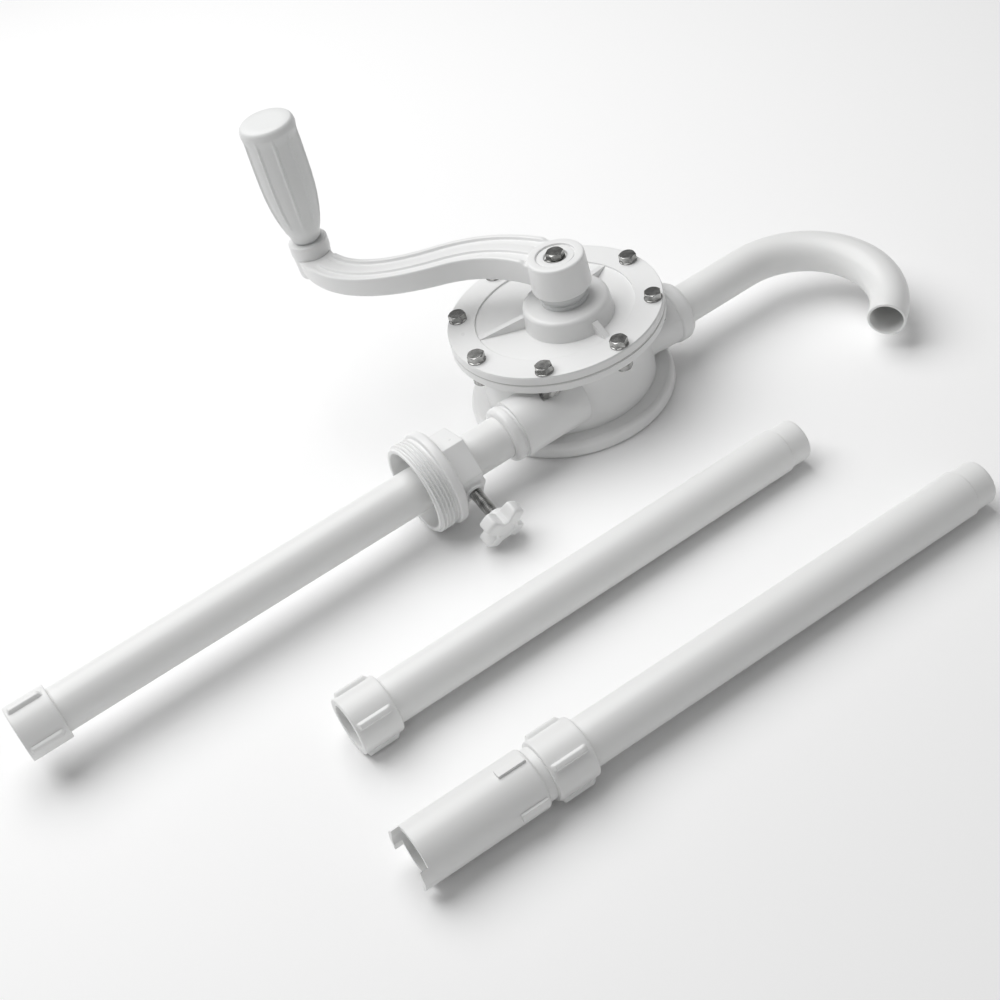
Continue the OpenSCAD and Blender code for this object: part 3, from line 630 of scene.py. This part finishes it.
def cover_fasteners():
    """Bolts with flanged hexagon heads, and their nuts."""
    head_z1 = mm_box("cover_bolts")[1].z
    head_z0 = head_z1 - BOLT_HEAD_H
    tail_z = mm_box("cover_bolts")[0].z
    nut_low, nut_high = mm_box("cover_nuts")
    head_z1 += BOLT_HEAD_RISE
    across = BOLT_ACROSS
    bolts, nuts = Shape(), Shape()
    for i, centre in enumerate(bolt_centres()):
        turn = Matrix.Rotation(math.radians(17 + 23 * i), 4, "Z")
        place = Matrix.Translation((centre.x, centre.y, 0)) @ turn
        head = hex_profile(across, head_z0 + 0.7, head_z1, 0, False, True)
        bolts.lathe(head, place, 72, loop=False, bend=hex_bend(across))
        collar_edge = rounded([
            (0, head_z0, 0), (FLANGE_HEAD_R, head_z0, 0.2), (FLANGE_HEAD_R, head_z0 + 0.7, 0.4),
            (across * 0.48, head_z0 + 1.1, 0.2), (0, head_z0 + 1.1, 0)
        ], closed=False, steps=3)
        bolts.lathe(collar_edge, place, 48, loop=False)
        shank = [
            (0, head_z0), (BOLT_R, head_z0), (BOLT_R, tail_z + 0.6), (BOLT_R - 0.5, tail_z),
            (0, tail_z)
        ]
        bolts.lathe(shank, place, 32, loop=False)
        profile = hex_profile(across, nut_low.z, nut_high.z, BOLT_R + 0.06, True, False)
        nuts.lathe(profile, place, 72, bend=hex_bend(across))
    bolts.piece("cover_bolts", "cover_bolts", 25)
    nuts.piece("cover_nuts", "cover_nuts", 25)


# ---------- crank ----------

HUB = at(JOINTS["crank_turn"])
GRIP = at(JOINTS["grip_spin"])
THROW = (Vector((GRIP.x, GRIP.y, 0)) - Vector((HUB.x, HUB.y, 0))).length
CRANK_DIRECTION = Vector((GRIP.x - HUB.x, GRIP.y - HUB.y, 0))
ARM_FIRST = [Vector(p) for p in ((0, 0), (0.15, -0.055), (0.30, -0.075), (0.46, 0.022))]
ARM_SECOND = [Vector(p) for p in ((0.46, 0.022), (0.62, 0.119), (0.83, 0.190), (1, 0))]
HUB_R = 18.0
ARM_W = 25.0
HUB_TOP_BELOW_BOSS = 8.0


def cubic(points, t):
    s = 1 - t
    return (points[0] * s ** 3 + points[1] * 3 * t * s * s
            + points[2] * 3 * t * t * s + points[3] * t ** 3)


def arm_point(t):
    point = cubic(ARM_FIRST, 2 * t) if t < 0.5 else cubic(ARM_SECOND, 2 * t - 1)
    return point * THROW


def arm_side(t):
    run = arm_point(min(t + 0.01, 1)) - arm_point(max(t - 0.01, 0))
    return Vector((-run.y, run.x)).normalized()


def arm_half_width(t):
    return ARM_W / 2 + (HUB_R - 3 - ARM_W / 2) * (1 - t) ** 2.4 - ARM_W * 0.06 * t


def crank_arm():
    """Arm with raised rims and a middle rib, its hub and grip boss, and the hub's screw."""
    low, high = mm_box("crank_arm")
    boss_top = high.z
    hub_bottom = low.z
    hub_top = boss_top - HUB_TOP_BELOW_BOSS
    arm_bottom = hub_top - 17.5
    place = axes((HUB.x, HUB.y, 0), UP, CRANK_DIRECTION)
    rim_w, rim_h, rib_w, rib_h = 3.2, 1.9, 6.6, 1.5
    rings = []
    steps = 110
    for i in range(steps + 1):
        t = 0.03 + 0.95 * i / steps
        centre, side = arm_point(t), arm_side(t)
        half = arm_half_width(t)
        fade = smoothstep(0.09, 0.115, t) * (1 - smoothstep(0.915, 0.935, t))
        web = hub_top - rim_h - 0.05
        bottom = arm_bottom + max(centre.x - HUB_R - 14, 0) * math.tan(math.radians(2)) + 0.1
        rim = web + (rim_h - 0.02) * fade
        rib = web + rib_h * fade
        section = rounded([
            (-half + 0.6, bottom, 1.8), (half - 0.6, bottom, 1.8), (half, rim, 1.3),
            (half - rim_w, rim, 1.0), (half - rim_w - 1.0, web, 1.0),
            (rib_w / 2 + 1.0, web, 1.0), (rib_w / 2, rib, 0.8),
            (-rib_w / 2, rib, 0.8), (-rib_w / 2 - 1.0, web, 1.0),
            (-half + rim_w + 1.0, web, 1.0), (-half + rim_w, rim, 1.0), (-half, rim, 1.3)
        ], steps=4)
        rings.append([(centre.x + side.x * y, centre.y + side.y * y, z) for y, z in section])
    shape = Shape()
    shape.rings(rings, place, caps=True)
    recess = 12.4
    recess_z = hub_top - 3
    profile = rounded([
        (3.3, recess_z, 0.2), (7.4, recess_z, 0.5), (7.4, recess_z + 2.2, 0.5),
        (recess - 0.8, recess_z + 2.2, 0.4), (recess - 0.8, recess_z + 1.6, 0.3),
        (recess, recess_z + 1.6, 0.3), (recess, hub_top, 0.6),
        (HUB_R, hub_top, 1.6), (HUB_R + 0.9, hub_bottom, 1.8), (8.4, hub_bottom, 0.4),
        (8.4, hub_bottom + 6, 0), (3.3, hub_bottom + 6, 0)
    ])
    shape.lathe(profile, place, 144)
    boss = Matrix.Translation((THROW, 0, 0))
    boss_z0 = hub_top - 17
    profile = rounded([
        (5.05, boss_z0 + 3, 0), (8, boss_z0 + 3, 0.3), (8, boss_z0, 0.4), (11.6, boss_z0, 1.2),
        (12.6, hub_top - 2, 0.8), (13, hub_top - 0.5, 0.5), (13, boss_top, 1.4),
        (5.05, boss_top, 0.3)
    ])
    shape.lathe(profile, place @ boss, 120)
    shape.piece("crank_arm", "crank_arm")

    washer_low, washer_high = mm_box("crank_washer")
    washer = Shape()
    washer.lathe(rounded([
        (3.2, washer_low.z, 0.1), (6.15, washer_low.z, 0.15),
        (6.15, washer_high.z, 0.35), (3.2, washer_high.z, 0.2)
    ]), place, 72)
    washer.piece("crank_washer", "crank_washer")
    screw_low, screw_high = mm_box("crank_screw")
    screw = Shape()
    head = hex_profile(BOLT_ACROSS, washer_high.z, screw_high.z, 0, True, True)
    screw.lathe(head, place, 72, loop=False, bend=hex_bend(BOLT_ACROSS))
    shank_r = BOLT_R - 0.05
    screw.lathe([
        (0, washer_high.z), (shank_r, washer_high.z), (shank_r, screw_low.z), (0, screw_low.z)
    ], place, 40, loop=False)
    screw.piece("crank_screw", "crank_screw", 25)


def grip():
    """Tapered grip with ten flat panels between narrow ridges."""
    low, high = mm_box("grip")
    length = high.z - low.z
    radius = (high.x - low.x) / 2
    place = axes((GRIP.x, GRIP.y, low.z), UP, CRANK_DIRECTION)
    panels = 10
    outline = [
        (9.5 / 18, 0.0), (0.545, 0.03), (0.66, 0.09), (0.76, 0.16), (0.85, 0.24), (0.92, 0.33),
        (0.97, 0.43), (0.995, 0.54), (1, 0.64), (1, 0.8), (0.99, 0.94)
    ]
    top = [(0.98, 0.955), (0.966, 0.972), (0.942, 0.985), (0.9, 0.995), (0.86, 1.0)]

    def radius_at(z):
        for (r0, z0), (r1, z1) in zip(outline, outline[1:]):
            if z <= z1:
                t = (z - z0) / (z1 - z0)
                return (r0 + (r1 - r0) * t) * radius
        return outline[-1][0] * radius

    def panel(angle, r, z):
        if r < 10.5:
            return r
        sector = 2 * math.pi / panels
        turn = (angle + sector / 2) % sector - sector / 2
        inside = math.pi * r / panels - 0.55 - abs(turn) * r
        run = smoothstep(0.1, 0.26, z / length) * (1 - smoothstep(0.86, 0.95, z / length))
        return r - 1.0 * smoothstep(-0.35, 1.0, inside) * run

    profile = [(radius_at(z / 90), z / 90 * length) for z in range(0, 86)]
    profile += [(r * radius, z * length) for r, z in top]
    profile += [(0.55 * radius, length), (0, length)]
    neck = [(5.05, length * 0.7), (5.05, 0.3), (5.4, 0)]
    shape = Shape()
    shape.lathe([Vector(p) for p in [(0, length * 0.7)] + neck + profile], place, 240,
                loop=False, bend=panel)
    shape.piece("grip", "grip", 60)


def gasket():
    """Its edge fills the joint between the flange and the cover."""
    low, high = mm_box("cover_gasket")
    cover_low, cover_high = mm_box("cover")
    outer = (cover_high.x - cover_low.x) / 2 - 0.2
    inner = (mm_box("rotor")[1].x - mm_box("rotor")[0].x) / 2 + 14
    shape = Shape()
    shape.lathe(rounded([
        (inner, low.z, 0), (outer, low.z, 0.3), (outer, high.z, 0.3), (inner, high.z, 0)
    ]), None, 240)
    shape.piece("cover_gasket", "cover_gasket")


def collar():
    """Collar with a groove and a thin lip under the hub."""
    low, high = mm_box("seal_collar")
    outer = (high.x - low.x) / 2
    place = Matrix.Translation((HUB.x, HUB.y, 0))
    shape = Shape()
    shape.lathe(rounded([
        (11.1, low.z, 0), (outer, low.z, 0.3), (outer, low.z + 2.6, 0.5),
        (outer - 1.2, low.z + 3.0, 0.4), (outer - 1.2, low.z + 4.4, 0.4),
        (outer - 0.2, low.z + 4.9, 0.5), (outer - 0.2, high.z - 0.3, 0.8),
        (outer - 2.0, high.z, 0.6), (8.4, high.z, 0.2), (8.4, low.z + 5, 0),
        (11.1, low.z + 5, 0)
    ]), place, 144)
    shape.piece("seal_collar", "seal_collar")


suction_line()
loose_line("mid_tube", "mid_coupling", MOUNTS["mid_tube_plug"], 54)
loose_line("lower_tube", "lower_coupling", MOUNTS["lower_tube_plug"], 45)
spout()
bung()
clamp_parts()
cover_fasteners()
crank_arm()
grip()
gasket()
collar()


# ---------- camera, light and floor ----------

def make_camera():
    azimuth, elevation, roll = math.radians(-22.75), math.radians(41.2), math.radians(16.95)
    distance = 0.9617
    low, high = START_BOUNDS
    target = Vector(((low.x + high.x) / 2, (low.y + high.y) / 2, 0))
    back = Vector((
        math.sin(azimuth) * math.cos(elevation),
        -math.cos(azimuth) * math.cos(elevation),
        math.sin(elevation),
    ))
    data = bpy.data.cameras.new("camera")
    data.sensor_width = 36
    data.lens = 56.61
    data.shift_x = -0.0005
    data.shift_y = 0.0172
    camera = bpy.data.objects.new("camera", data)
    level = (-back).to_track_quat("-Z", "Y").to_matrix().to_4x4()
    camera.matrix_world = (
        Matrix.Translation(target + back * distance) @ level @ Matrix.Rotation(-roll, 4, "Z")
    )
    bpy.context.scene.collection.objects.link(camera)
    bpy.context.scene.camera = camera
    return camera


def area_light(name, size, power, location, target):
    data = bpy.data.lights.new(name, "AREA")
    data.shape = "DISK"
    data.size = size
    data.energy = power
    light = bpy.data.objects.new(name, data)
    location, target = Vector(location), Vector(target)
    light.matrix_world = (
        Matrix.Translation(location)
        @ (target - location).to_track_quat("-Z", "Y").to_matrix().to_4x4()
    )
    bpy.context.scene.collection.objects.link(light)


def make_floor():
    bm = bmesh.new()
    bmesh.ops.create_grid(bm, x_segments=1, y_segments=1, size=6)
    mesh = bpy.data.meshes.new("floor")
    bm.to_mesh(mesh)
    bm.free()
    floor = bpy.data.objects.new("floor", mesh)
    floor.location.z = START_BOUNDS[0].z
    bpy.context.scene.collection.objects.link(floor)
    mat, tree, bsdf = new_material("floor", (0.97, 0.97, 0.97), 0.9)
    mesh.materials.append(mat)


def make_world():
    world = bpy.data.worlds.new("studio")
    world.use_nodes = True
    back = world.node_tree.nodes["Background"]
    back.inputs["Color"].default_value = (1, 1, 1, 1)
    back.inputs["Strength"].default_value = 0.25
    bpy.context.scene.world = world


camera = make_camera()
make_floor()
make_world()
area_light("key", 2.0, 29, (-0.35, 0.6, 1.5), (-0.1, -0.05, 0.03))
bpy.context.scene.view_settings.view_transform = "Standard"
